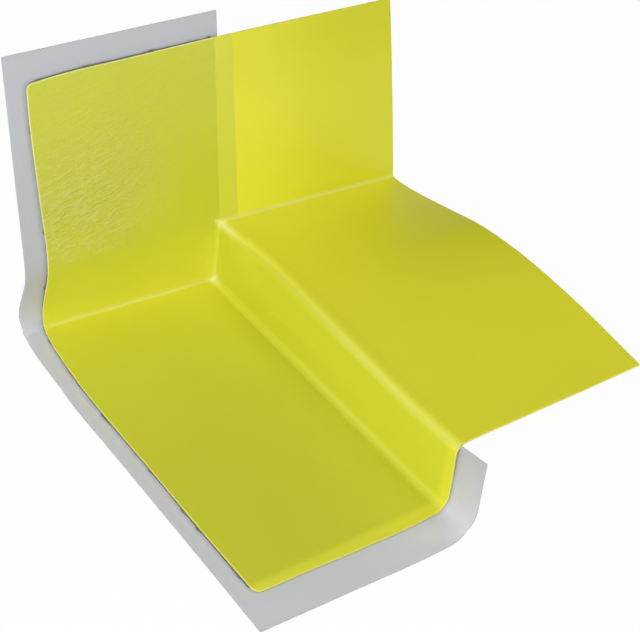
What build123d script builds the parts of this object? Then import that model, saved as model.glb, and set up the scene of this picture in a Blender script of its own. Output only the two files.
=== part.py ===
from build123d import *

import os

# Self-adhesive sealing corner: a moulded yellow film that steps up from a lower panel to an upper
# panel and folds up a wall behind both. Its lower half is backed with butyl adhesive under a
# peel-off liner. All sizes in millimetres.
# X runs along the wall to the right, Y out of the front towards the wall, Z up. While it is built,
# x is 0 at the film's left edge, y is 0 at the wall and z is 0 on the lower panel.

# Film: outline
depth = 120.0             # wall to front edge
lower_width = 61.0        # left edge to the riser
upper_width = 70.5        # riser to the right edge
riser_height = 23.0       # lower panel to upper panel
wall_height = 83.5        # lower panel to the wall's top edge
plan_corner_radius = 2.5  # lower panel's front left corner
wall_corner_radius = 4.0  # wall's top left corner
left_swell = 2.6          # how far the lower panel's left edge swells out
left_swell_share = 0.25   # its middle's distance from the wall, as a share of the depth
front_swell = 1.0         # how far the lower panel's front edge swells out
front_swell_share = 0.75  # its middle's distance from the left edge, as a share of the lower width

# Film: form
ridge_radius = 3.0        # bend from the riser to the upper panel
foot_radius = 4.5         # bend from the lower panel to the riser
lean_left = 9.3           # how far the wall's top leans back at the left edge
lean_riser = 11.8         # the same above the riser
lean_right = 13.8         # the same at the right edge
recess_left = 6.2         # how far the wall's foot steps back at the left edge
recess_riser = 2.9        # the same beside the riser
wall_bow = 2.4            # how far the wall's middle stands back at the upper panel's height
recess_foot = 6.5         # height of the upright strip at the wall's foot
recess_radius = 5.0       # bend above that strip
brow_radius = 2.5         # bend where the wall starts to lean

# Rise of the upper panel's free edge above its ridge, at the wall and at each quarter of the depth
edge_rises = [0.0, 4.5, 8.2, 5.8, 1.4]

# Layers, from the front to the back
film_thickness = 0.6
adhesive_thickness = 0.8
liner_thickness = 0.2
release_gap = 0.05        # the liner's hold-off from the adhesive

# Adhesive and liner: outline
adhesive_wall_width = 60.0   # how far the adhesive reaches along the wall
adhesive_squeeze = 0.4       # how far it has crept past the film's edges
liner_wall_width = 63.8      # how far the liner reaches along the wall
liner_left_margin = 5.6      # liner past the film on the left
liner_front_margin = 10.2    # liner past the film at the front
liner_top_margin = 8.0       # liner past the film at the top
tab_gap = 0.8                # front tab's distance from the film's front edge
tab_back_height = 23.3       # front tab's top edge, next to the film
tab_front_height = 24.8      # the same at the liner's front edge

# Room that the working solids have past the part's own edges
spare = 15.0

left_swell_place = left_swell_share * depth
left_swell_radius = 2.5 * depth
front_swell_place = front_swell_share * lower_width
front_swell_radius = 2.4 * lower_width
film_back = film_thickness
adhesive_back = film_back + adhesive_thickness
liner_front = adhesive_back + release_gap
liner_back = liner_front + liner_thickness
total_width = lower_width + upper_width
shelf = riser_height - ridge_radius
ground = -2 * spare
far_left = -2 * spare
far_right = total_width + spare
far_back = lean_right + 3 * spare


def steps(inset):
    """Solid under the lower panel, riser and upper panel, with the upper panel still flat."""
    face_x = lower_width + inset
    corners = [
        (far_left, -inset),
        (face_x, -inset),
        (face_x, riser_height - inset),
        (far_right, riser_height - inset),
    ]
    with BuildSketch(Plane.XZ.offset(-spare)) as section:
        with BuildLine():
            edge = FilletPolyline(*corners, radius=[foot_radius + inset, ridge_radius - inset])
            Polyline(edge @ 1, (far_right, ground), (far_left, ground), edge @ 0)
        make_face()
    return extrude(section.sketch, depth + 2 * spare)


def riser_block(inset):
    """Solid under the lower panel and behind the riser, which goes straight on up."""
    face_x = lower_width + inset
    with BuildSketch(Plane.XZ.offset(-spare)) as section:
        with BuildLine():
            edge = FilletPolyline(
                (far_left, -inset), (face_x, -inset), (face_x, wall_height), radius=foot_radius + inset
            )
            Polyline(edge @ 1, (far_right, wall_height), (far_right, ground), (far_left, ground), edge @ 0)
        make_face()
    return extrude(section.sketch, depth + 2 * spare)


def deck(inset):
    """Solid that lifts the upper panel's top from the ridge's bend up to its bowed free edge."""
    start = lower_width + ridge_radius
    reach = (far_right - start) / (total_width - start)
    quarter = depth / (len(edge_rises) - 1)
    front_fall = (edge_rises[-1] - edge_rises[-2]) * spare / quarter
    heights = [(spare, edge_rises[0])]
    heights += [(-quarter * count, rise) for count, rise in enumerate(edge_rises)]
    heights += [(-depth - spare, edge_rises[-1] + front_fall)]
    sections = []
    for y, rise in heights:
        with BuildSketch(Plane.XZ.offset(-y)) as section:
            with BuildLine():
                Polyline(
                    (start, riser_height - inset),
                    (far_right, riser_height + rise * reach - inset),
                    (far_right, ground),
                    (start, ground),
                    close=True,
                )
            make_face()
        sections.append(section.sketch)
    return loft(sections)


def wall_section(x, lean, recess, bow, inset):
    """Face in the plane at x that lies behind the wall's front surface."""
    top = wall_height + spare
    top_lean = bow + (lean - bow) * (top - riser_height) / (wall_height - riser_height)
    corners = [
        (inset + recess, ground),
        (inset + recess, recess_foot),
        (inset + bow, riser_height),
        (inset + top_lean, top),
    ]
    with BuildSketch(Plane.YZ.offset(x)) as section:
        with BuildLine():
            edge = FilletPolyline(*corners, radius=[recess_radius, brow_radius])
            Polyline(edge @ 1, (far_back, top), (far_back, ground), edge @ 0)
        make_face()
    return section.sketch


def wall(inset):
    """Solid behind the wall, which leans back further to the right and has its recess on the left."""
    recess_slope = (recess_riser - recess_left) / lower_width
    left_slope = (lean_riser - lean_left) / lower_width
    right_slope = (lean_right - lean_riser) / upper_width
    left_bow = wall_bow * far_left / lower_width
    right_bow = -wall_bow * spare / upper_width
    at_left = (far_left, lean_left + left_slope * far_left, recess_left + recess_slope * far_left, left_bow)
    at_riser = (lower_width, lean_riser, recess_riser, wall_bow)
    at_right = (far_right, lean_right + right_slope * spare, recess_riser, right_bow)
    left = loft([wall_section(*at_left, inset), wall_section(*at_riser, inset)], ruled=True)
    right = loft([wall_section(*at_riser, inset), wall_section(*at_right, inset)], ruled=True)
    return left + right


def plan(left, right, front, corner_radius):
    """Outline seen from above, with the swells of its left and front edges."""
    points = [
        (left, far_back),
        (left, 0),
        (left - left_swell, -left_swell_place),
        (left, front),
        (front_swell_place, front - front_swell),
        (lower_width, front),
    ]
    radii = [front_swell_radius, left_swell_radius, corner_radius, front_swell_radius]
    with BuildSketch() as outline:
        with BuildLine():
            edge = FilletPolyline(*points, radius=radii)
            Polyline(edge @ 1, (right, front), (right, far_back), edge @ 0)
        make_face()
    return Pos(0, 0, ground) * extrude(outline.sketch, wall_height + 4 * spare)


def elevation(left, right, bottom, top, corner_radius):
    """Outline seen from the front, where only the lower panel keeps the swell of its left edge."""
    points = [(left, bottom), (left, top), (right, top)]
    with BuildSketch(Plane.XZ.offset(-far_back)) as outline:
        with BuildLine():
            if corner_radius > 0:
                edge = FilletPolyline(*points, radius=corner_radius)
            else:
                edge = Polyline(*points)
            Polyline(edge @ 1, (right, bottom), edge @ 0)
        make_face()
    return extrude(outline.sketch, depth + far_back + 2 * spare)


# Film: everything between its two surfaces, within its outline
film_slab = elevation(0, total_width, 0, wall_height, wall_corner_radius)
film_slab += elevation(-left_swell, total_width, ground, 0, 0)
film = (steps(0) + deck(0) + wall(0)) - (steps(film_back) + deck(film_back) + wall(film_back))
film = film & plan(0, total_width, -depth, plan_corner_radius) & film_slab


def backing(front, back, left_margin, front_margin, top_margin, wall_width, rounded):
    """Layer behind the lower panel, the riser and the left wall, as far as its margins reach."""
    corner_radius = plan_corner_radius if rounded else 0.1
    top_radius = wall_corner_radius if rounded else 0
    lower = (riser_block(front) + wall(front)) - (riser_block(back) + wall(back))
    lower &= plan(-left_margin, lower_width + back, -depth - front_margin, corner_radius)
    lower_slab = elevation(-left_margin, lower_width + back, -front, shelf, 0)
    lower_slab += elevation(-left_margin - left_swell, lower_width + back, ground, -front, 0)
    upper = wall(front) - wall(back)
    upper &= elevation(-left_margin, wall_width, shelf, wall_height + top_margin, top_radius)
    return (lower & lower_slab) + upper


# Adhesive: creeps a little past the film on its three outer edges
adhesive = backing(
    film_back, adhesive_back, adhesive_squeeze, adhesive_squeeze, adhesive_squeeze, adhesive_wall_width, True
)

# Liner: square corners and wide margins to grip when it is peeled
liner = backing(
    liner_front, liner_back, liner_left_margin, liner_front_margin, liner_top_margin, liner_wall_width, False
)

# Liner's front tab: stands up past the film where the riser's margin is free
tab_back = -depth - tab_gap
tab_front = -depth - liner_front_margin
with BuildSketch(Plane.YZ.offset(lower_width + liner_front)) as tab_side:
    with BuildLine():
        Polyline(
            (tab_back, shelf - ridge_radius),
            (tab_back, tab_back_height),
            (tab_front, tab_front_height),
            (tab_front, shelf - ridge_radius),
            close=True,
        )
    make_face()
liner += extrude(tab_side.sketch, liner_thickness)

# The part's origin is the middle of the lower panel's underside, where it stands
origin = Pos(-lower_width / 2, depth / 2, liner_back)
pieces = {"sealing_film": film, "butyl_adhesive": adhesive, "release_liner": liner}

os.makedirs("parts", exist_ok=True)
for name, piece in pieces.items():
    export_step(origin * piece, f"parts/{name}.step")
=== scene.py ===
import logging
import math
from dataclasses import dataclass, field
from enum import Enum

import bpy
import numpy as np
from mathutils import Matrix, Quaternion, Vector


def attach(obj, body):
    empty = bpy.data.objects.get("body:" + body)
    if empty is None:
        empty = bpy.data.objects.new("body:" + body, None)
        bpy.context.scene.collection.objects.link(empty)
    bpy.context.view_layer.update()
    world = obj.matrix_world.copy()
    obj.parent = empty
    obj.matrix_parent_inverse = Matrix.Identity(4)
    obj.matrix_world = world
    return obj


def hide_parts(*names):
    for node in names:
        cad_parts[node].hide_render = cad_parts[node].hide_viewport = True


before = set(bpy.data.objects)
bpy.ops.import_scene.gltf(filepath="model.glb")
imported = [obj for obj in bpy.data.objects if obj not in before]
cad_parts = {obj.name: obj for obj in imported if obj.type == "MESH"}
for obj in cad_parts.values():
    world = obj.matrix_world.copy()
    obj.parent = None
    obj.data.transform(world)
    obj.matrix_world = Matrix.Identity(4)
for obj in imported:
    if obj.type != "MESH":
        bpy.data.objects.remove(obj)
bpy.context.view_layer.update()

LOG = logging.getLogger("sealing_corner")
MM = 0.001
Array = np.ndarray
Tree = bpy.types.NodeTree
Socket = bpy.types.NodeSocket
Node = bpy.types.Node
Piece = bpy.types.Object


def linear(hex_colour: str) -> tuple[float, float, float, float]:
    """Turns an sRGB hex colour to linear light.

    Args:
        hex_colour: six hex digits after a hash mark.

    Returns:
        Linear red, green, blue and an alpha of 1.
    """
    digits = hex_colour.lstrip("#")
    channels = [int(digits[start:start + 2], 16) / 255 for start in (0, 2, 4)]
    light = [c / 12.92 if c <= 0.04045 else ((c + 0.055) / 1.055) ** 2.4 for c in channels]
    return (light[0], light[1], light[2], 1.0)


WHITE = linear("#FFFFFF")


def smoothstep(value: Array) -> Array:
    """Cubic ease 3t^2 - 2t^3 of the values, held between 0 and 1."""
    share = np.clip(value, 0.0, 1.0)
    return share * share * (3.0 - 2.0 * share)


def bell(value: Array, width: float) -> Array:
    """Bell curve exp(-(value / width)^2), which is 1 at a value of 0."""
    return np.exp(-((value / width) ** 2))


def edge_share(distance: Array, width: float) -> Array:
    """Share of 1 inside an edge and 0 outside it, eased over a width with the edge in its middle."""
    return smoothstep(distance / width + 0.5)


def eased_ramp(value: Array, ease: float) -> Array:
    """Straight ramp with a bent start: 0 until -e / 2, then (v + e / 2)^2 / 2e until e / 2, then v.

    Args:
        value: distances past the bend.
        ease: length e of the bend, half of it on each side.

    Returns:
        The ramp's height at each distance.
    """
    bent = np.clip(value + ease / 2, 0.0, ease) ** 2 / (2.0 * ease)
    return bent + np.maximum(value - ease / 2, 0.0)


def round_min(first: Array, second: Array, radius: Array | float) -> Array:
    """Smaller of two distances, with the corner between their zero lines rounded to the radius."""
    short_first = np.maximum(radius - first, 0.0)
    short_second = np.maximum(radius - second, 0.0)
    return np.maximum(radius, np.minimum(first, second)) - np.hypot(short_first, short_second)


def round_max(first: Array, second: Array, radius: Array | float) -> Array:
    """Larger of two distances, rounded in the same way on the other side."""
    return -round_min(-first, -second, radius)


def grid_lines(start: float, end: float, step: float, fine: float, folds: tuple[float, ...]) -> Array:
    """Places of grid lines, closer together near folds.

    The gap between lines is fine at a fold and grows by a third of the distance from it, up to step.
    The lines are where the running sum of 1 / gap passes whole shares of its total.

    Args:
        start: first line.
        end: last line.
        step: widest gap.
        fine: gap at a fold.
        folds: places to refine round.

    Returns:
        The lines' places, from start to end.
    """
    place = np.linspace(start, end, 2001)
    nearest = np.min(np.abs(place[:, None] - np.asarray(folds, float)[None, :]), axis=1)
    gap = np.minimum(step, fine + nearest / 3.0)
    density = 1.0 / gap
    total = np.concatenate([[0.0], np.cumsum((density[1:] + density[:-1]) / 2 * np.diff(place))])
    count = max(2, int(round(total[-1])))
    return np.interp(np.linspace(0.0, total[-1], count + 1), total, place)


@dataclass(frozen=True)
class Fade:
    """Eased change from 0 at one place to 1 at another, which may lie on either side of it."""

    start: float
    end: float

    def at(self, place: Array) -> Array:
        """Share from 0 to 1 at each place."""
        return smoothstep((place - self.start) / (self.end - self.start))


@dataclass(frozen=True)
class Course:
    """How a value runs along an edge or a fold: a smooth line through a few measured places."""

    places: tuple[float, ...]
    values: tuple[float, ...]

    def at(self, place: Array) -> Array:
        """Cubic Hermite curve through the points with their mean slopes, level past its ends.

        Args:
            place: where to work the value out.

        Returns:
            The value at each place.
        """
        stations = np.asarray(self.places, float)
        heights = np.asarray(self.values, float)
        slope = np.gradient(heights, stations)
        held = np.clip(place, stations[0], stations[-1])
        span = np.clip(np.searchsorted(stations, held) - 1, 0, len(stations) - 2)
        width = stations[span + 1] - stations[span]
        share = (held - stations[span]) / width
        start = (1 + 2 * share) * (1 - share) ** 2 * heights[span]
        end = share**2 * (3 - 2 * share) * heights[span + 1]
        leave = share * (1 - share) ** 2 * width * slope[span]
        arrive = share**2 * (share - 1) * width * slope[span + 1]
        return start + end + leave + arrive


# The course of an edge that runs straight
STRAIGHT = Course((0, 1), (0.0, 0.0))


@dataclass(frozen=True)
class Form:
    """The stepped and folded shape that all three layers share, in millimetres.

    x runs along the wall from the film's left edge, y is 0 at the wall and negative in front of it, and z
    is 0 on the lower panel. It is first laid out square and then bent.
    """

    depth: float = 120.0
    lower_width: float = 61.0
    upper_width: float = 70.5
    riser_height: float = 23.0
    wall_height: float = 83.5
    ridge_radius: float = 3.2
    foot_radius: float = 2.6
    margin_foot_radius: float = 8.0
    lean_left: float = 9.3
    lean_riser: float = 11.6
    lean_right: float = 13.8
    bow: float = 2.4
    brow_ease: float = 9.0
    recess_foot: float = 6.5
    recess_ease: float = 6.5
    recess_reach: float = 34.0
    liner_back: float = 1.65
    # How far the wall's foot stands back, by distance from the left edge
    recess: Course = Course((0, 8, 20, 32, 44, 52, 57, 61), (4.95, 4.6, 4.25, 3.95, 3.45, 3.35, 3.1, 2.1))
    # How far the upper panel's free edge rises, by distance from the wall, and how far right of the
    # riser the panel starts to rise
    edge_rise: Course = Course((0, 6, 14, 30, 46, 62, 88, 120), (0.0, 0.1, 1.1, 3.9, 6.7, 7.5, 5.9, 1.2))
    rise_start: float = 4.92
    rise_ease: float = 6.0
    # How far the ridge and the riser's foot stray to the right, by distance from the wall
    ridge_stray: Course = Course(
        (0, 8, 18, 40, 60, 78, 100, 120), (0.0, 0.3, 1.9, 1.9, 1.0, 0.3, -0.3, 0.35)
    )
    foot_stray: Course = Course((0, 40, 90, 112, 120), (0.0, 0.0, 0.05, 0.25, 0.5))
    # How far down from the ridge its stray reaches, and where along the wall both strays fade
    stray_depth: float = 14.0
    stray_left: Fade = Fade(35, 61)
    stray_right: Fade = Fade(102, 66)
    # Where the riser's foot gets the margin's radius, by distance past the film's front edge
    margin_foot: Fade = Fade(-7, 15)

    @property
    def total_width(self) -> float:
        """Left edge to right edge."""
        return self.lower_width + self.upper_width

    def free_space(self, points: Array, inset: Array | float, crease: float, cap: Array) -> Array:
        """Distance into the free space in front of a layer's surface, negative behind it.

        It is the rounded smaller of the heights above the lower panel and in front of the wall, where the
        step counts as the rounded larger of the distances left of the riser and above the upper panel.

        Args:
            points: places as rows of x, y and z.
            inset: how far behind the film's front surface the layer's surface lies.
            crease: radius of the creases against the wall.
            cap: height at which the riser bends into the upper panel, one for each point.

        Returns:
            The signed distance of each point.
        """
        x, y, z = points.T
        past_edge = self.margin_foot.at(-y - self.depth)
        foot = self.foot_radius + inset + (self.margin_foot_radius - self.foot_radius) * past_edge
        step = round_max(self.lower_width + inset - x, z + inset - cap, self.ridge_radius - inset)
        panels = round_min(z + inset, step, foot)
        return round_min(panels, inset - y, crease)

    def settle(self, points: Array, inset: Array | float, crease: float, cap: Array) -> Array:
        """Moves points onto a layer's surface by Newton steps along the distance's gradient.

        Args:
            points: places near the surface, as rows.
            inset, crease, cap: as in free_space.

        Returns:
            The places on the surface.
        """
        step_count, nudge, least_steepness = 12, 1e-4, 0.05
        place = points.copy()
        for _ in range(step_count):
            distance = self.free_space(place, inset, crease, cap)
            gradient = np.empty_like(place)
            for axis in range(3):
                step = np.zeros(3)
                step[axis] = nudge
                ahead = self.free_space(place + step, inset, crease, cap)
                behind = self.free_space(place - step, inset, crease, cap)
                gradient[:, axis] = (ahead - behind) / (2 * nudge)
            steepness = np.maximum(np.sum(gradient**2, axis=1), least_steepness)
            place -= (distance / steepness)[:, None] * gradient
        return place

    def across(self, x: Array, left: float, middle: float, right: float) -> Array:
        """Straight lines from the value at the left edge to the riser's and on to the right edge's."""
        left_slope = (middle - left) / self.lower_width
        right_slope = (right - middle) / self.upper_width
        past = x - self.lower_width
        return middle + np.where(past < 0, left_slope, right_slope) * past

    def wall_back(self, x: Array, z: Array) -> Array:
        """How far back the wall stands: an upright foot, a ramp forward to the brow, and a lean back.

        Args:
            x: places along the wall.
            z: heights.

        Returns:
            The distance behind y = 0 at each place.
        """
        foot = self.recess.at(x)
        brow = self.across(x, 0.0, self.bow, 0.0)
        top = self.across(x, self.lean_left, self.lean_riser, self.lean_right)
        past_brow = eased_ramp(z - self.riser_height, self.brow_ease)
        ramp = eased_ramp(z - self.recess_foot, self.recess_ease) - past_brow
        forward = (foot - brow) * ramp / (self.riser_height - self.recess_foot)
        lean = (top - brow) * past_brow / (self.wall_height - self.riser_height)
        return foot - forward + lean

    def bend(self, points: Array) -> Array:
        """Bends the square form into the real one: bowed upper panel, straying step and bent wall.

        Args:
            points: places on the square form, as rows.

        Returns:
            The places on the bent form.
        """
        x, y, z = points.T
        back = self.wall_back(x, z) * smoothstep((y + self.recess_reach) / self.recess_reach)
        start = self.lower_width + self.rise_start
        share = eased_ramp(x - start, self.rise_ease) / (self.total_width - start)
        rise = self.edge_rise.at(-y) * share
        low = np.clip((self.riser_height - z) / self.stray_depth, 0.0, 1.0)
        near_step = self.stray_left.at(x) * self.stray_right.at(x)
        stray = (self.ridge_stray.at(-y) * (1.0 - low) + self.foot_stray.at(-y) * low) * near_step
        return np.stack([x + stray, y + back, z + rise], axis=1)

    def to_metres(self, points: Array) -> Array:
        """Places in the part's frame, whose origin is the middle of the lower panel's underside."""
        origin = np.array([self.lower_width / 2, -self.depth / 2, -self.liner_back])
        return (points - origin) * MM


class Patch(Enum):
    """The flat patches of the square form, each a grid between folds or edges."""

    LOWER = "lower panel"
    RISER = "riser"
    UPPER = "upper panel"
    WALL_FOOT = "wall beside the riser"
    WALL_LEFT = "wall above the lower panel"
    WALL_RIGHT = "wall above the upper panel"
    TAB = "liner's front tab"


@dataclass(frozen=True)
class Cut:
    """Outline that one layer is cut to, in millimetres on the square form.

    The courses say how far the real edges stand out from straight ones: the lower panel's left edge by
    distance from the wall, the wall's left and right edges by height, and the front edges of the lower
    and the upper panel and the wall's top edge by distance along the wall.
    """

    left: float
    front: float
    top: float
    wall_right: float
    riser_top: float
    left_out: Course
    wall_left_out: Course
    top_out: Course
    wall_right_out: Course = STRAIGHT
    front_out: Course = STRAIGHT
    upper_front_out: Course = STRAIGHT
    plan_corner: float = 0.0
    wall_corner: float = 0.0
    has_upper_panel: bool = False
    tab_heights: tuple[float, float] | None = None
    tab_gap: float = 0.0


@dataclass
class Layout:
    """A layer's grid points on the square form, the faces between them and the riser's top at each."""

    points: Array
    faces: Array
    cap: Array


def round_corner(
    across: Array, along: Array, centre: tuple[float, float], radius: float, signs: tuple[int, int]
) -> tuple[Array, Array]:
    """Pulls a square grid corner in to an arc.

    A point keeps its direction from the arc's centre and takes its larger offset from it as its distance.

    Args:
        across: the points' first coordinates.
        along: their second coordinates.
        centre: the arc's centre.
        radius: the arc's radius.
        signs: direction from the centre to the corner, as -1 or 1 for each coordinate.

    Returns:
        Both coordinates, changed only inside the corner's square.
    """
    if radius <= 0:
        return across, along
    out_across = (across - centre[0]) * signs[0]
    out_along = (along - centre[1]) * signs[1]
    inside = (out_across > 0) & (out_along > 0)
    length = np.maximum(np.hypot(out_across, out_along), 1e-9)
    scale = np.where(inside, np.maximum(out_across, out_along) / length, 1.0)
    return centre[0] + (across - centre[0]) * scale, centre[1] + (along - centre[1]) * scale


@dataclass
class LayoutMaker:
    """Lays a layer's grid over the square form's patches and welds their shared edges.

    Its gaps are fine at folds, edges and marks (places along the wall) and grow to step.
    """

    form: Form
    cut: Cut
    step: float = 1.1
    fine: float = 0.18
    marks: tuple[float, ...] = ()

    def spread(self, start: float, end: float, *folds: float) -> Array:
        """Grid lines from start to end, refined round the folds."""
        return grid_lines(start, end, self.step, self.fine, folds)

    def lines(self, patch: Patch) -> tuple[Array, Array]:
        """Grid lines of a patch.

        Args:
            patch: the patch.

        Returns:
            Places of the lines across it and along it.
        """
        form, cut = self.form, self.cut
        riser, brow = form.lower_width, form.riser_height
        # Each fold is refined at its own place and again where its bend runs out
        left = self.spread(cut.left, riser, cut.left, riser, riser - 2.0)
        deep = self.spread(cut.front, 0.0, cut.front, -form.depth, 0.0, -1.0)
        foot = self.spread(0.0, brow, 0.0, 1.0, 3.0, brow)
        high = self.spread(brow, cut.top, brow, brow + 1.0, cut.top)
        right = self.spread(riser, cut.wall_right, riser, riser + 1.5, cut.wall_right, *self.marks)
        if cut.riser_top < brow:
            foot = np.unique(np.append(foot[foot < cut.riser_top - 0.1], [cut.riser_top, brow]))
        return {
            Patch.LOWER: (left, deep),
            Patch.RISER: (foot[foot <= cut.riser_top + 1e-6], deep),
            Patch.UPPER: (right, deep),
            Patch.WALL_FOOT: (left, foot),
            Patch.WALL_LEFT: (left, high),
            Patch.WALL_RIGHT: (right, high),
            Patch.TAB: (np.linspace(0.0, 1.0, 9), deep[deep < -form.depth - cut.tab_gap]),
        }[patch]

    def shape(self, patch: Patch, across: Array, along: Array) -> Array:
        """Puts a patch's grid on the square form, with the cut's real edges and rounded corners.

        Each edge's course moves the points by a share that falls to none at the riser, the wall or the
        brow: in a straight line, and for the front edges as its cube.

        Args:
            patch: the patch.
            across: places across it, as a grid.
            along: places along it, as a grid.

        Returns:
            A grid of x, y and z.
        """
        form, cut = self.form, self.cut
        riser, brow = form.lower_width, form.riser_height
        if patch is Patch.LOWER:
            centre = (cut.left + cut.plan_corner, cut.front + cut.plan_corner)
            x, y = round_corner(across, along, centre, cut.plan_corner, (-1, -1))
            left_share = (riser - x) / (riser - cut.left)
            front_out = cut.front_out.at(x) * (y / cut.front) ** 3
            x = x - cut.left_out.at(-y) * left_share
            return np.stack([x, y - front_out, np.zeros_like(x)], axis=-1)
        if patch in (Patch.RISER, Patch.TAB):
            z = across
            if patch is Patch.TAB:
                reach = (along + form.depth) / (cut.front + form.depth)
                top = cut.tab_heights[0] + (cut.tab_heights[1] - cut.tab_heights[0]) * reach
                z = cut.riser_top + (top - cut.riser_top) * across
            low = np.clip(1.0 - z / brow, 0.0, 1.0)
            place = np.array([riser])
            front_out = cut.front_out.at(place) * low + cut.upper_front_out.at(place) * (1.0 - low)
            y = along - front_out * (along / cut.front) ** 3
            return np.stack([np.full_like(z, riser), y, z], axis=-1)
        if patch is Patch.UPPER:
            share = (across - riser) / (cut.wall_right - riser)
            x = across + cut.wall_right_out.at(np.array([brow])) * share
            y = along - cut.upper_front_out.at(across) * (along / cut.front) ** 3
            return np.stack([x, y, np.full_like(x, brow)], axis=-1)
        x, z = across, along
        if patch is Patch.WALL_RIGHT:
            share = (x - riser) / (cut.wall_right - riser)
            shift = cut.wall_right_out.at(z) * share
        else:
            centre = (cut.left + cut.wall_corner, cut.top - cut.wall_corner)
            x, z = round_corner(x, z, centre, cut.wall_corner, (-1, 1))
            shift = -cut.wall_left_out.at(z) * (riser - x) / (riser - cut.left)
        lift = cut.top_out.at(x) * np.clip((z - brow) / (cut.top - brow), 0.0, 1.0)
        return np.stack([x + shift, np.zeros_like(x), z + lift], axis=-1)

    def make(self) -> Layout:
        """Lays every patch and welds the points that share a place.

        Returns:
            The layer's points, faces and riser tops.
        """
        cut = self.cut
        patches = [Patch.LOWER, Patch.RISER, Patch.WALL_FOOT, Patch.WALL_LEFT]
        if cut.has_upper_panel:
            patches.append(Patch.UPPER)
        if cut.wall_right > self.form.lower_width:
            patches.append(Patch.WALL_RIGHT)
        if cut.tab_heights is not None:
            patches.append(Patch.TAB)
        all_points, all_faces, count = [], [], 0
        for patch in patches:
            across, along = np.meshgrid(*self.lines(patch), indexing="ij")
            rows, columns = across.shape
            number = np.arange(rows * columns).reshape(rows, columns) + count
            corners = [number[:-1, :-1], number[1:, :-1], number[1:, 1:], number[:-1, 1:]]
            all_faces.append(np.stack([corner.ravel() for corner in corners], axis=1))
            all_points.append(self.shape(patch, across, along).reshape(-1, 3))
            count += rows * columns
        points = np.concatenate(all_points)
        key = np.round(points, 4) + 0.0
        _, first, same = np.unique(key, axis=0, return_index=True, return_inverse=True)
        points, faces = points[first], same.reshape(-1)[np.concatenate(all_faces)]
        free = points[:, 1] < -self.form.depth - cut.tab_gap + 0.1
        # The riser's upper bend is lifted out of the free tab's way
        lift = 60.0 if cut.tab_heights is not None else 0.0
        cap = self.form.riser_height + np.where(free, lift, 0.0)
        return Layout(points, faces, cap)


@dataclass
class SheetMesh:
    """Closed mesh of one slim layer: a front grid, a back grid and a rounded rim between them.

    The insets are how far the two surfaces lie behind the film's front, and the creases are their radii
    against the wall. The rim stands out by its bulge, which the ripple makes uneven, and the edge's
    points get the rim mark, with the rim's strength as its value.
    """

    form: Form
    layout: Layout
    front_inset: Array | float
    back_inset: Array | float
    front_crease: float
    back_crease: float
    rim_bulge: float = 0.0
    rim_rings: int = 3
    ripple: float = 0.0
    rim_strength: Array | float = 1.0

    def surface(self, inset: Array | float, crease: float) -> Array:
        """Bent places of the layer's grid at one distance behind the film's front, in metres."""
        settled = self.form.settle(self.layout.points, inset, crease, self.layout.cap)
        return self.form.to_metres(self.form.bend(settled))

    def rim_edges(self) -> Array:
        """Directed edges that only one face has, as pairs of point numbers."""
        faces = self.layout.faces
        pairs = np.concatenate([np.stack([faces[:, i], faces[:, (i + 1) % 4]], axis=1) for i in range(4)])
        size = len(self.layout.points)
        forward = pairs[:, 0] * size + pairs[:, 1]
        backward = pairs[:, 1] * size + pairs[:, 0]
        return pairs[~np.isin(forward, backward)]

    def build(self, name: str, marks: dict[str, Array] | None = None) -> Piece:
        """Makes the layer's object.

        The rim's rings follow half an ellipse from the front edge to the back edge, and the ellipse
        stands out from the edge by the bulge, which ripples along the edge.

        Args:
            name: the object's name.
            marks: named values of 0 to 1, one for each grid point, that the finish reads.

        Returns:
            The object, at the origin.
        """
        front = self.surface(self.front_inset, self.front_crease)
        back = self.surface(self.back_inset, self.back_crease)
        rim = self.rim_edges()
        size = len(front)
        along = np.zeros_like(front)
        step = front[rim[:, 1]] - front[rim[:, 0]]
        np.add.at(along, rim[:, 0], step)
        np.add.at(along, rim[:, 1], step)
        rim_points = np.unique(rim)
        through = back[rim_points] - front[rim_points]
        outward = np.cross(along[rim_points], -through)
        outward /= np.maximum(np.linalg.norm(outward, axis=1), 1e-12)[:, None]
        bulge = np.full(len(rim_points), self.rim_bulge * MM)
        if self.ripple > 0:
            bulge += self.ripple * MM * ragged(front[rim_points] / MM)
        rings = []
        for ring in range(1, self.rim_rings + 1):
            turn = math.pi * ring / (self.rim_rings + 1)
            depth = through * (1 - math.cos(turn)) / 2
            rings.append(front[rim_points] + depth + outward * (bulge * math.sin(turn))[:, None])
        points = np.concatenate([front, back] + rings)
        ring_number = np.full(size, -1)
        ring_number[rim_points] = np.arange(len(rim_points))
        levels = [rim]
        levels += [ring_number[rim] + 2 * size + ring * len(rim_points) for ring in range(self.rim_rings)]
        levels += [rim + size]
        faces = [self.layout.faces, self.layout.faces[:, ::-1] + size]
        for near, far in zip(levels[:-1], levels[1:]):
            faces.append(np.stack([near[:, 1], near[:, 0], far[:, 0], far[:, 1]], axis=1))
        thing = mesh_object(name, points, np.concatenate(faces))
        on_rim = np.zeros(size)
        on_rim[rim_points] = 1.0
        values = {**(marks or {}), "rim": on_rim * self.rim_strength}
        for label, value in values.items():
            attribute = thing.data.attributes.new(label, "FLOAT", "POINT")
            spread = np.concatenate([value, value] + [value[rim_points]] * self.rim_rings)
            attribute.data.foreach_set("value", spread.astype(np.float32))
        return thing


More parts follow.
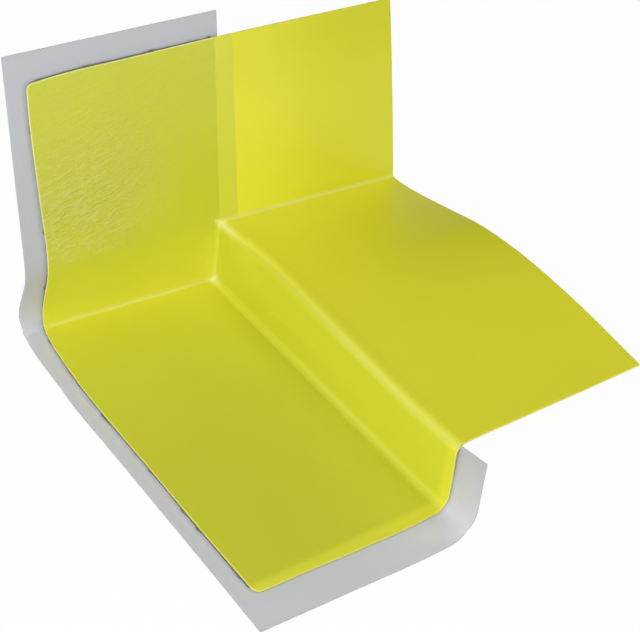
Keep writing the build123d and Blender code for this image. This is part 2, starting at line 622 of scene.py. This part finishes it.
def ragged(points: Array) -> Array:
    """Uneven edge of a squeezed-out layer: a sum of sines of the place, which share no common period.

    Args:
        points: places in millimetres, as rows.

    Returns:
        A value of about -1 to 1 at each place.
    """
    path = points[:, 0] + points[:, 1] * 0.9 + points[:, 2] * 1.1
    waves = np.sin(path * 0.31) + np.sin(path * 0.83 + 1.0) + 0.7 * np.sin(path * 1.9 + 2.0)
    share = (waves + 0.5 * np.sin(path * 4.3 + 0.5)) / 3.2
    return share * np.abs(share)


def mesh_object(name: str, points: Array, faces: Array) -> Piece:
    """Makes a smooth-shaded mesh object of four-cornered faces and links it to the scene.

    Args:
        name: the object's name.
        points: places in metres, as rows.
        faces: rows of four point numbers, counter-clockwise from outside.

    Returns:
        The object, at the origin.
    """
    mesh = bpy.data.meshes.new(name)
    mesh.vertices.add(len(points))
    mesh.vertices.foreach_set("co", points.astype(np.float32).ravel())
    mesh.loops.add(faces.size)
    mesh.loops.foreach_set("vertex_index", faces.astype(np.int32).ravel())
    mesh.polygons.add(len(faces))
    mesh.polygons.foreach_set("loop_start", np.arange(0, faces.size, 4, dtype=np.int32))
    mesh.polygons.foreach_set("use_smooth", np.ones(len(faces), dtype=bool))
    mesh.update(calc_edges=True)
    mesh.validate()
    thing = bpy.data.objects.new(name, mesh)
    bpy.context.scene.collection.objects.link(thing)
    return thing


def add_node(tree: Tree, kind: str, links: dict | None = None, **settings: object) -> Node:
    """Adds a node with its settings and links.

    Args:
        tree: the material's node tree.
        kind: the node's type name, without its ShaderNode at the front.
        links: input name or number to the output socket or plain value that feeds it.
        settings: attributes of the node.

    Returns:
        The node.
    """
    node = tree.nodes.new("ShaderNode" + kind)
    for key, value in settings.items():
        setattr(node, key, value)
    for key, source in (links or {}).items():
        socket = node.inputs[key]
        if isinstance(source, Socket):
            tree.links.new(source, socket)
        else:
            socket.default_value = source
    return node


def new_material(name: str) -> tuple[bpy.types.Material, Tree, Node]:
    """Makes an empty node material.

    Args:
        name: the material's name.

    Returns:
        The material, its node tree and its output node.
    """
    material = bpy.data.materials.new(name)
    material.use_nodes = True
    tree = material.node_tree
    tree.nodes.clear()
    return material, tree, add_node(tree, "OutputMaterial")


def add_noise(tree: Tree, place: Socket, size: float, detail: float) -> Socket:
    """Adds noise of the given size in millimetres and returns its value."""
    settings = {"Vector": place, "Scale": 1 / (size * MM), "Detail": detail}
    return add_node(tree, "TexNoise", settings).outputs[0]


def add_math(tree: Tree, operation: str, *values: object) -> Socket:
    """Adds a math node with sockets or plain values and returns its result."""
    return add_node(tree, "Math", dict(enumerate(values)), operation=operation).outputs[0]


def add_mix(tree: Tree, share: object, under: object, over: object) -> Socket:
    """Adds a mix from the colour under to the colour over and returns its colour."""
    return add_node(tree, "Mix", {0: share, 6: under, 7: over}, data_type="RGBA").outputs[2]


def add_mark(tree: Tree, label: str) -> Socket:
    """Adds the value of a mesh mark."""
    return add_node(tree, "Attribute", attribute_name=label).outputs["Fac"]


def add_bump(tree: Tree, depth: float, height: Socket) -> Socket:
    """Adds a bump of the given depth in millimetres and returns its normal."""
    return add_node(tree, "Bump", {"Distance": depth * MM, "Height": height}).outputs[0]


def add_surface(tree: Tree, output: Node, inputs: dict) -> None:
    """Adds the shader with its inputs and links it to the material's output."""
    shader = add_node(tree, "BsdfPrincipled", inputs)
    tree.links.new(shader.outputs[0], output.inputs["Surface"])


@dataclass(frozen=True)
class FilmFinish:
    """Calendered soft PVC film: satin, lemon yellow, its tone set by what lies behind it and by painted
    shade, highlights and reflection.

    The film lets some light through, so it looks duller over the dark adhesive and brighter where it is
    free. Where it is glued to the wall's adhesive its skin has pulled into fine leathery wrinkles.
    """

    colour: str = "#E5E238"
    # What each mark turns the colour to, one over the other
    mark_colours: tuple[tuple[str, str], ...] = (
        ("backed", "#CBCE35"),
        # Painted shade: a darker, less blue tone
        ("painted_shade", "#CDCC16"),
        # A mid tone, partly painted light in the recess
        ("mid_tone", "#D6D642"),
        # The wrinkles' greyer tone, its added blue a painted reflection
        ("wrinkled_and_haze", "#C2C452"),
        # Painted highlights on the wrinkles' tops
        ("crests_and_highlights", "#CDCF6E"),
        # Painted highlights along the ridge and the creases
        ("painted_fold_highlight", "#D6D76A"),
        # Painted glints at the step's wall ends
        ("painted_glint", "#EFEDA0"),
    )
    # Painted highlight on the film's cut edge
    rim_colour: str = "#E4E58E"
    roughness: float = 0.33
    wrinkled_roughness: float = 0.42
    ior: float = 1.45
    wrinkle_gap: float = 1.0
    wrinkle_length: float = 4.0
    wrinkle_slant: float = 13.0
    wrinkle_depth: float = 0.22
    # The noise's values between which a wrinkle's top takes its painted highlight
    crest_start: float = 0.47
    crest_end: float = 0.66
    # How much the grain and the creased mark add to the bump
    grain_share: float = 0.35
    creased_share: float = 1.6
    grain_size: float = 0.45
    cloud_size: float = 25.0
    cloud_contrast: float = 0.025

    def tone(self, tree: Tree, place: Socket, marks: dict[str, Socket]) -> Socket:
        """Adds the film's colour: each mark's own over the last, slightly clouded, and the rim's.

        Args:
            tree: the material's node tree.
            place: object coordinates.
            marks: the marks' values by name.

        Returns:
            The colour.
        """
        tone = linear(self.colour)
        for label, colour in self.mark_colours:
            tone = add_mix(tree, marks[label], tone, linear(colour))
        cloud = add_noise(tree, place, self.cloud_size, 2.0)
        limits = {"To Min": 1.0 - self.cloud_contrast, "To Max": 1.0 + self.cloud_contrast}
        shade = add_node(tree, "MapRange", {"Value": cloud, **limits})
        clouded = add_node(tree, "HueSaturation", {"Color": tone, "Value": shade.outputs[0]})
        return add_mix(tree, marks["rim"], clouded.outputs[0], linear(self.rim_colour))

    def material(self) -> bpy.types.Material:
        """Builds the film's material."""
        material, tree, output = new_material("soft_pvc_film")
        place = add_node(tree, "TexCoord").outputs["Object"]
        labels = ("backed", "painted_shade", "mid_tone", "wrinkled_and_haze", "creased", "painted_fold_highlight", "painted_glint", "rim")
        marks = {label: add_mark(tree, label) for label in labels}
        turn = (0.0, math.radians(-self.wrinkle_slant), 0.0)
        size = (self.wrinkle_length * MM, MM, self.wrinkle_gap * MM)
        drawn_out = {"Vector": place, "Rotation": turn, "Scale": size}
        turned = add_node(tree, "Mapping", drawn_out, vector_type="TEXTURE")
        settings = {"Vector": turned.outputs[0], "Scale": 1.0, "Detail": 2.5, "Distortion": 0.6}
        wrinkles = add_node(tree, "TexNoise", settings).outputs[0]
        # Painted highlights on the wrinkles' tops, where the skin is most creased
        limits = {"Value": wrinkles, "From Min": self.crest_start, "From Max": self.crest_end}
        crest = add_node(tree, "MapRange", limits, interpolation_type="SMOOTHSTEP")
        marks["crests_and_highlights"] = add_math(tree, "MULTIPLY", crest.outputs[0], marks["creased"])
        grain = add_noise(tree, place, self.grain_size, 1.0)
        relief = add_math(tree, "MULTIPLY_ADD", grain, self.grain_share, wrinkles)
        share = add_math(tree, "MULTIPLY_ADD", marks["creased"], self.creased_share, marks["wrinkled_and_haze"])
        limits = {"To Min": self.roughness, "To Max": self.wrinkled_roughness}
        gloss = add_node(tree, "MapRange", {"Value": marks["wrinkled_and_haze"], **limits}).outputs[0]
        colour = self.tone(tree, place, marks)
        bump = add_bump(tree, self.wrinkle_depth, add_math(tree, "MULTIPLY", relief, share))
        looks = {"Base Color": colour, "Roughness": gloss, "IOR": self.ior, "Normal": bump}
        add_surface(tree, output, looks)
        return material


@dataclass(frozen=True)
class ButylFinish:
    """Butyl rubber adhesive: dark grey brown, dull and tacky, with small lumps."""

    colour: str = "#57534A"
    dusty_colour: str = "#7A776A"
    roughness: float = 0.55
    lump_size: float = 1.2
    lump_depth: float = 0.15

    def material(self) -> bpy.types.Material:
        """Builds the adhesive's material."""
        material, tree, output = new_material("butyl_rubber")
        place = add_node(tree, "TexCoord").outputs["Object"]
        lumps = add_noise(tree, place, self.lump_size, 3.0)
        tone = add_mix(tree, lumps, linear(self.colour), linear(self.dusty_colour))
        bump = add_bump(tree, self.lump_depth, lumps)
        add_surface(tree, output, {"Base Color": tone, "Roughness": self.roughness, "Normal": bump})
        return material


@dataclass(frozen=True)
class LinerFinish:
    """Siliconised polyethylene release film: pale cool grey, smooth and faintly wavy."""

    # Painted light and shade: the liner is lighter on the lower panel and darker on the wall
    wall_shade_colour: str = "#BABCC4"
    lower_lit_colour: str = "#D0D1D6"
    rim_colour: str = "#B4B6BA"
    # The heights between which the lower panel's lit colour turns into the wall's painted shade
    lower_end: float = 4.0
    wall_start: float = 24.0
    roughness: float = 0.32
    wave_size: float = 14.0
    wave_depth: float = 0.12

    def material(self) -> bpy.types.Material:
        """Builds the liner's material."""
        material, tree, output = new_material("siliconised_release_film")
        place = add_node(tree, "TexCoord").outputs["Object"]
        height = add_node(tree, "SeparateXYZ", {0: place}).outputs["Z"]
        limits = {"From Min": self.lower_end * MM, "From Max": self.wall_start * MM}
        raised = add_node(tree, "MapRange", {"Value": height, **limits}).outputs[0]
        tone = add_mix(tree, raised, linear(self.lower_lit_colour), linear(self.wall_shade_colour))
        edged = add_mix(tree, add_mark(tree, "rim"), tone, linear(self.rim_colour))
        bump = add_bump(tree, self.wave_depth, add_noise(tree, place, self.wave_size, 1.5))
        add_surface(tree, output, {"Base Color": edged, "Roughness": self.roughness, "Normal": bump})
        return material


@dataclass
class FilmMarks:
    """Where the film is glued and has wrinkles, where it takes a mid tone, and where shade, highlights and
    reflection are painted, as values from 0 to 1 for its finish.

    The points are the grid's places on the square form. Each mark is made of strengths, fades and bells
    of the place, all set against the photo.
    """

    form: Form
    points: Array
    adhesive_wall_end: float
    mid_tone_end: float
    free_front: float

    def __post_init__(self) -> None:
        """Sorts the points by the panel that they are on and by what lies behind it."""
        self.x, self.y, self.z = self.points.T
        self.right = self.x - self.form.lower_width
        self.above = self.z - self.form.riser_height
        self.on_wall = (self.y > -0.01) & (self.z > 0.01)
        self.on_upper = np.where(self.on_wall, self.right > 0, self.above > -0.01)
        self.glued = edge_share(self.adhesive_wall_end - self.x, 0.5)

    def glue(self) -> dict[str, Array]:
        """Where the adhesive's dark tone shows through, where shade is painted and where the film takes a
        mid tone.

        Returns:
            The marks of the adhesive's tone, of the painted shade and of the mid tone.
        """
        x, y, z = self.x, self.y, self.z
        free = 1.0 - self.glued
        at_recess = np.where(self.on_wall, Fade(28, 10).at(z), 0.0)
        front_edge = 0.5 + 0.5 * edge_share(y + self.form.depth - self.free_front, 2.4)
        backed = np.where(self.on_wall, self.glued, front_edge * ~self.on_upper)
        # Painted light lessens the adhesive's tone: bounced off the wall onto the lower panel, evenly over
        # the riser, and in the recess, which the film bridges, bounced off the lower panel
        painted_light_lower_and_riser = np.where(z > 0.01, 0.3, 0.85 * np.exp(y / 24.0))
        bridging_and_painted_light = np.where(self.on_wall, 0.9 * at_recess, painted_light_lower_and_riser)
        # Painted shade, darker and less blue: on the upper panel away from the wall and round its raised
        # far right, on the free wall towards its right end and top, and on the glued wall's upper middle
        arch_painted_shade = bell(x - self.form.total_width, 34) * bell(y + 40, 26)
        upper_painted_shade = 0.25 - 0.25 * np.exp(y / 18.0) + 0.6 * arch_painted_shade
        wall_painted_shade = 0.6 * Fade(70, 115).at(x) + 0.35 * Fade(55, 80).at(z)
        painted_shade = np.where(self.on_wall, wall_painted_shade * free, upper_painted_shade * self.on_upper)
        painted_shade += 0.4 * self.on_wall * self.glued * Fade(30, 60).at(x) * Fade(20, 40).at(z)
        # A mid tone on the free wall above the brow, from the adhesive's end to the band's end, and in the
        # recess, where it is partly painted light bounced off the lower panel
        mid_tone_band = edge_share(self.mid_tone_end - x, 0.4) * free * self.on_wall * (self.above > 0)
        mid_tone = mid_tone_band + 0.6 * at_recess * self.glued
        return {"backed": backed * (1.0 - bridging_and_painted_light), "painted_shade": painted_shade, "mid_tone": mid_tone}

    def wrinkles(self) -> dict[str, Array]:
        """Where the skin over the wall's adhesive has wrinkles at all, and where their tops get painted
        highlights.

        Returns:
            The marks of the wrinkles, which carry a painted reflection, and of their creasing.
        """
        x, z = self.x, self.z
        skin = self.on_wall * self.glued
        low_left = Fade(52, 16).at(x) * Fade(18, 40).at(z) * Fade(80, 30).at(z)
        high_right = Fade(34, 58).at(x) * Fade(48, 78).at(z)
        everywhere = Fade(22, 48).at(z) * (0.4 + 0.6 * Fade(56, 22).at(x))
        # The wrinkle mark's colour also carries a painted reflection, a bluish haze
        wrinkled_and_haze = 0.5 * low_left + 0.3 * high_right + 0.4 * everywhere
        crests_and_highlights = Fade(40, 14).at(x) * Fade(19, 27).at(z) * Fade(68, 40).at(z)
        return {"wrinkled_and_haze": wrinkled_and_haze * skin, "creased": (0.55 * crests_and_highlights + 0.15 * everywhere) * skin}

    def painted_highlights(self) -> dict[str, Array]:
        """Where highlights are painted: pale along the ridge and creases, almost white at the step's wall
        ends.

        Returns:
            The marks of the fold highlights and of the glints at the wall ends.
        """
        y, z, right, above = self.y, self.z, self.right, self.above
        # Painted highlights along the ridge and the creases
        past_ridge = ~self.on_wall & (z > 12.0)
        along_ridge = (0.22 + 0.18 * Fade(28, 62).at(-y)) * past_ridge
        from_crease = np.where(self.on_wall, np.where(right > 0.01, above, z), -y)
        strength = np.where((z > 0.6) & (right < 0.6) & ~self.on_wall, 0.45, 0.9)
        ridge = along_ridge * bell(right + above - 0.2, 1.8)
        painted_fold_highlight = np.maximum(ridge, strength * bell(from_crease, 0.75))
        # Painted glints where the ridge and the riser's foot meet the wall
        at_tip = past_ridge | (self.on_wall & (np.abs(right) < 1.2) & (np.abs(above) < 1.2))
        tip = 0.8 * bell(right + above - 0.3, 1.5) * bell(y, 8.5) * at_tip
        low_tip = 0.7 * bell(right, 1.6) * bell(y, 3.0) * bell(z, 2.2)
        return {"painted_fold_highlight": painted_fold_highlight, "painted_glint": np.maximum(tip, low_tip)}

    def rim_strength(self) -> Array:
        """How strongly the cut edge takes its pale colour, a painted highlight: most on the left wall,
        least right of the riser.
        """
        return np.where((self.right > 0.5) & (self.z > 0.5), 0.15, np.where(self.above > 0, 0.8, 0.35))


@dataclass
class SealingFilm:
    """The yellow film, moulded in one piece, with its rounded outer corners and glued margins.

    The adhesive stops short of the front edge, and there the film dips towards the liner. Along the
    riser's foot the lower panel has a shallow groove.
    """

    form: Form
    finish: FilmFinish = field(default_factory=FilmFinish)
    thickness: float = 0.6
    rim_bulge: float = 0.12
    crease: float = 1.2
    adhesive_wall_end: float = 61.8
    mid_tone_end: float = 68.4
    free_front: float = 3.4
    front_dip: float = 0.55
    dip_top: float = 22.0
    dip_fade: float = 14.0
    groove_depth: float = 0.12
    groove_width: float = 1.5
    groove_offset: float = 1.7
    groove_start: Fade = Fade(6, 26)

    def cut(self) -> Cut:
        """The film's outline."""
        inset = self.rim_bulge
        return Cut(
            left=inset,
            front=-self.form.depth + inset,
            top=self.form.wall_height - inset,
            wall_right=self.form.total_width - inset,
            riser_top=self.form.riser_height,
            has_upper_panel=True,
            plan_corner=2.2,
            wall_corner=1.6,
            left_out=Course(
                (0, 7.5, 14, 27, 40, 66, 90, 120), (0.1, 1.35, 1.95, 2.6, 2.5, 1.8, 1.35, 0.35)
            ),
            wall_left_out=Course(
                (0, 8, 23, 31, 44, 64, 74, 83), (0.1, 0.2, -0.1, -0.35, 0.0, 0.5, 0.55, 0.35)
            ),
            wall_right_out=Course((23, 40, 64, 84), (-0.03, -0.02, -0.15, -0.6)),
            front_out=Course(
                (0, 6, 16, 27, 39, 48, 56, 61), (-0.9, -0.65, -0.5, -0.05, 0.3, 0.45, 0.15, -0.05)
            ),
            upper_front_out=Course(
                (61, 64, 70, 80, 95, 110, 131), (-0.1, -0.35, -0.5, -0.4, -0.3, -0.2, -0.2)
            ),
            top_out=Course(
                (0, 2.5, 5.5, 10, 34, 50, 100, 131), (-1.2, -1.1, -0.8, -0.5, -0.1, 0.2, 0.45, 0.45)
            ),
        )

    def build(self) -> Piece:
        maker = LayoutMaker(self.form, self.cut(), marks=(self.adhesive_wall_end, self.mid_tone_end))
        layout = maker.make()
        marks = FilmMarks(self.form, layout.points, self.adhesive_wall_end, self.mid_tone_end, self.free_front)
        x, y, z = layout.points.T
        glued = np.clip((self.dip_top - z) / self.dip_fade, 0.0, 1.0)
        dip = self.front_dip * smoothstep((self.free_front - self.form.depth - y) / self.free_front) * glued
        beside_foot = bell(x - self.form.lower_width + self.groove_offset, self.groove_width) * (z < 0.01)
        groove = self.groove_depth * beside_foot * self.groove_start.at(-y)
        insets = (dip + groove, dip + self.thickness)
        creases = (self.crease, self.crease + self.thickness)
        sheet = SheetMesh(self.form, layout, *insets, *creases, self.rim_bulge, rim_strength=marks.rim_strength())
        film = sheet.build("film", {**marks.glue(), **marks.wrinkles(), **marks.painted_highlights()})
        film.data.materials.append(self.finish.material())
        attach(film, "root")
        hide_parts("sealing_film")
        return film


@dataclass
class ButylAdhesive:
    """The tacky layer behind the film's left half, which shows as a ragged line along the wall's top."""

    form: Form
    finish: ButylFinish = field(default_factory=ButylFinish)
    front_inset: float = 0.6
    thickness: float = 0.8
    wall_width: float = 60.0
    free_front: float = 3.4
    free_top: float = 0.22
    free_left: float = 0.25
    free_riser: float = 0.4
    creases: tuple[float, float] = (1.7, 2.5)
    rim_bulge: float = 0.15
    ripple: float = 1.1

    def build(self) -> Piece:
        cut = Cut(
            left=self.free_left,
            front=-self.form.depth + self.free_front,
            top=self.form.wall_height - self.free_top,
            wall_right=self.wall_width,
            riser_top=self.form.riser_height - self.free_riser,
            plan_corner=1.0,
            wall_corner=1.8,
            left_out=Course((0, 7.5, 14, 27, 40, 66, 90, 120), (0.0, 1.35, 1.95, 2.6, 2.5, 1.8, 1.4, 0.5)),
            wall_left_out=Course(
                (0, 8, 23, 31, 44, 64, 74, 83), (0.0, 0.0, -0.2, -0.6, -0.3, 0.2, 0.2, 0.0)
            ),
            top_out=Course((0, 2.5, 5.5, 10, 34, 50, 61), (-1.2, -1.1, -0.8, -0.45, 0.0, 0.2, 0.2)),
        )
        layout = LayoutMaker(self.form, cut, step=1.6, fine=0.4).make()
        insets = (self.front_inset, self.front_inset + self.thickness)
        sheet = SheetMesh(self.form, layout, *insets, *self.creases, self.rim_bulge, ripple=self.ripple)
        layer = sheet.build("adhesive")
        layer.data.materials.append(self.finish.material())
        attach(layer, "root")
        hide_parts("butyl_adhesive")
        return layer


@dataclass
class ReleaseLiner:
    """The peel-off film behind the adhesive, with square corners and free margins."""

    form: Form
    finish: LinerFinish = field(default_factory=LinerFinish)
    front_inset: float = 1.45
    thickness: float = 0.2
    left_margin: float = 5.6
    front_margin: float = 10.2
    top_margin: float = 8.0
    wall_width: float = 63.8
    free_riser: float = 0.8
    tab_heights: tuple[float, float] = (22.75, 24.3)
    tab_gap: float = -0.4
    creases: tuple[float, float] = (0.6, 0.8)

    def build(self) -> Piece:
        cut = Cut(
            left=-self.left_margin,
            front=-self.form.depth - self.front_margin,
            top=self.form.wall_height + self.top_margin,
            wall_right=self.wall_width,
            riser_top=self.form.riser_height - self.free_riser,
            tab_heights=self.tab_heights,
            tab_gap=self.tab_gap,
            left_out=Course((0, 5, 24, 32, 46, 67, 106, 130), (0.8, 1.4, 2.0, 2.2, 1.8, 1.2, 0.2, -0.3)),
            wall_left_out=Course((0, 4, 23, 50, 92), (0.8, 1.6, 1.1, 0.9, 0.6)),
            front_out=Course((-6, 20, 50, 61), (-0.7, 0.1, 0.85, 0.5)),
            top_out=Course((-6, 64), (-0.8, -0.2)),
        )
        layout = LayoutMaker(self.form, cut, step=1.4, fine=0.2).make()
        insets = (self.front_inset, self.front_inset + self.thickness)
        sheet = SheetMesh(self.form, layout, *insets, *self.creases, rim_rings=1)
        layer = sheet.build("liner")
        layer.data.materials.append(self.finish.material())
        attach(layer, "root")
        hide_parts("release_liner")
        return layer


@dataclass
class SoftBox:
    """One square lamp, placed by its azimuth from +x towards +y and its elevation, in degrees."""

    name: str
    azimuth: float
    elevation: float
    size: float
    power: float
    distance: float = 0.9


@dataclass
class Studio:
    """Pale floor, soft lights and the camera at the photograph's angle.

    The sky is bright near the horizon, like a white backdrop, and dim above it.
    """

    camera_place: tuple[float, float, float] = (-0.1627, -0.2362, 0.2556)
    camera_target: tuple[float, float, float] = (0.0351, 0.0099, 0.020)
    camera_roll: float = 6.71
    lens: float = 72.84
    floor_drop: float = 0.0002
    floor_colour: str = "#F4F4F4"
    floor_glow: float = 0.97
    low_sky: float = 0.78
    high_sky: float = 0.08
    # The heights, as the sine of the elevation, between which the sky goes dim
    sky_turn: tuple[float, float] = (0.30, 0.42)
    lamp_aim: tuple[float, float, float] = (0.03, 0.0, 0.03)
    boxes: tuple[SoftBox, ...] = (
        SoftBox("key", 218, 34, 0.6, 5.9),
        SoftBox("fill", 312, 55, 0.3, 1.1),
        SoftBox("top", 0, 90, 0.7, 0.9),
        SoftBox("rim", 134, 30, 0.6, 1.0),
    )

    def floor(self) -> Piece:
        """Makes the floor, which takes shadows and looks white to the camera and in reflections."""
        bpy.ops.mesh.primitive_plane_add(size=8.0, location=(0.0, 0.0, -self.floor_drop))
        ground = bpy.context.active_object
        ground.name = "floor"
        material, tree, output = new_material("white_floor")
        diffuse = add_node(tree, "BsdfDiffuse", {"Color": linear(self.floor_colour)})
        glow = add_node(tree, "Emission", {"Color": WHITE})
        rays = add_node(tree, "LightPath").outputs
        seen = add_math(tree, "MAXIMUM", rays["Is Camera Ray"], rays["Is Glossy Ray"])
        seen = add_math(tree, "MAXIMUM", seen, rays["Is Transmission Ray"])
        share = add_math(tree, "MULTIPLY", seen, self.floor_glow)
        both = add_node(tree, "MixShader", {0: share, 1: diffuse.outputs[0], 2: glow.outputs[0]})
        tree.links.new(both.outputs[0], output.inputs["Surface"])
        ground.data.materials.append(material)
        return ground

    def sky(self) -> None:
        """Sets the sky: bright low down and dim above."""
        world = bpy.data.worlds.new("studio_sky")
        bpy.context.scene.world = world
        world.use_nodes = True
        tree = world.node_tree
        tree.nodes.clear()
        direction = add_node(tree, "TexCoord").outputs["Generated"]
        height = add_node(tree, "SeparateXYZ", {0: direction}).outputs["Z"]
        turn = {"From Min": self.sky_turn[0], "From Max": self.sky_turn[1]}
        levels = {"Value": height, **turn, "To Min": self.low_sky, "To Max": self.high_sky}
        level = add_node(tree, "MapRange", levels, interpolation_type="SMOOTHSTEP")
        back = add_node(tree, "Background", {"Color": WHITE, "Strength": level.outputs[0]})
        output = add_node(tree, "OutputWorld")
        tree.links.new(back.outputs[0], output.inputs["Surface"])

    def lamp(self, box: SoftBox) -> None:
        """Adds one soft box, aimed at the object's middle."""
        data = bpy.data.lights.new(box.name, "AREA")
        data.size = box.size
        data.energy = box.power
        lamp = bpy.data.objects.new(box.name, data)
        azimuth, elevation = math.radians(box.azimuth), math.radians(box.elevation)
        flat = math.cos(elevation)
        toward = Vector((math.cos(azimuth) * flat, math.sin(azimuth) * flat, math.sin(elevation)))
        lamp.location = Vector(self.lamp_aim) + toward * box.distance
        lamp.rotation_euler = toward.to_track_quat("Z", "Y").to_euler()
        bpy.context.scene.collection.objects.link(lamp)

    def camera(self) -> None:
        """Adds the camera at the photograph's place, turned about its own view line."""
        data = bpy.data.cameras.new("camera")
        data.sensor_width = 36.0
        data.lens = self.lens
        camera = bpy.data.objects.new("camera", data)
        place = Vector(self.camera_place)
        look = Vector(self.camera_target) - place
        turn = look.to_track_quat("-Z", "Y") @ Quaternion((0.0, 0.0, 1.0), math.radians(self.camera_roll))
        camera.location = place
        camera.rotation_euler = turn.to_euler()
        bpy.context.scene.collection.objects.link(camera)
        bpy.context.scene.camera = camera

    def build(self) -> None:
        """Builds the whole studio."""
        self.floor()
        self.sky()
        for box in self.boxes:
            self.lamp(box)
        self.camera()
        bpy.context.scene.view_settings.view_transform = "Standard"


def main() -> None:
    """Builds the sealing corner and its studio and reports each piece."""
    logging.basicConfig(level=logging.INFO, format="%(name)s: %(message)s")
    form = Form()
    for layer in (ReleaseLiner(form), ButylAdhesive(form), SealingFilm(form)):
        piece = layer.build()
        LOG.info("%s: %d points, %d faces", piece.name, len(piece.data.vertices), len(piece.data.polygons))
    Studio().build()


if __name__ == "__main__":
    main()
